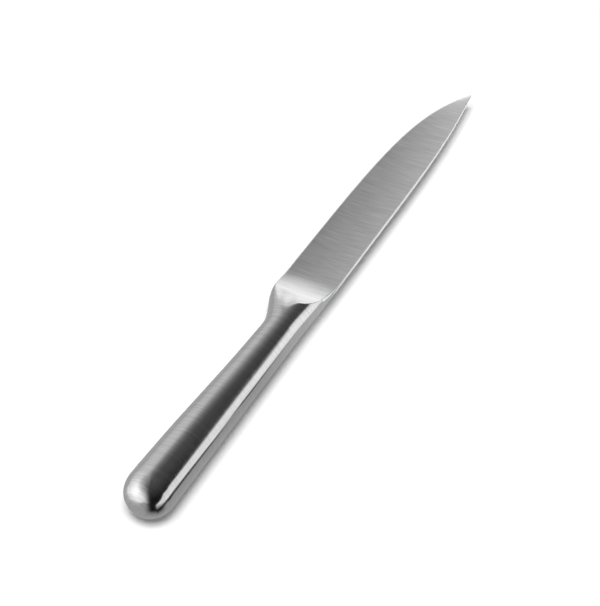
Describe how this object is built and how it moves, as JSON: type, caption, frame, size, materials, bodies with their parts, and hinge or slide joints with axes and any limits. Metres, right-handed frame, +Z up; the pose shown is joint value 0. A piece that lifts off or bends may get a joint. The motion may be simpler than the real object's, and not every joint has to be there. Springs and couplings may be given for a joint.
{
  "type": "kitchen utility knife",
  "caption": "All-steel kitchen utility knife: a slim pointed blade scooped out of a round, hollow, tapering handle, for slicing and trimming food.",
  "frame": {"origin": "under the middle of the knife's box, on the surface that it lies on, with the knife on its side", "axes": "+X from the butt to the tip, +Y from the spine to the cutting edge, +Z up, square to the blade"},
  "size_m": [0.25, 0.0212, 0.0182],
  "materials": {
    "satin_steel": "satin, brushed across the blade and round the handle",
    "sand": "dry loose sand",
    "fibre": "pressed fibre board"
  },
  "bodies": {
    "root": {"blade": "satin_steel", "left_handle_shell": "satin_steel", "right_handle_shell": "satin_steel", "spine_seam_weld": "satin_steel", "belly_seam_weld": "satin_steel", "neck_weld": "satin_steel", "fill_hole_plug": "satin_steel", "sand_ballast": "sand", "ballast_stopper": "fibre"}
  },
  "joints": []
}
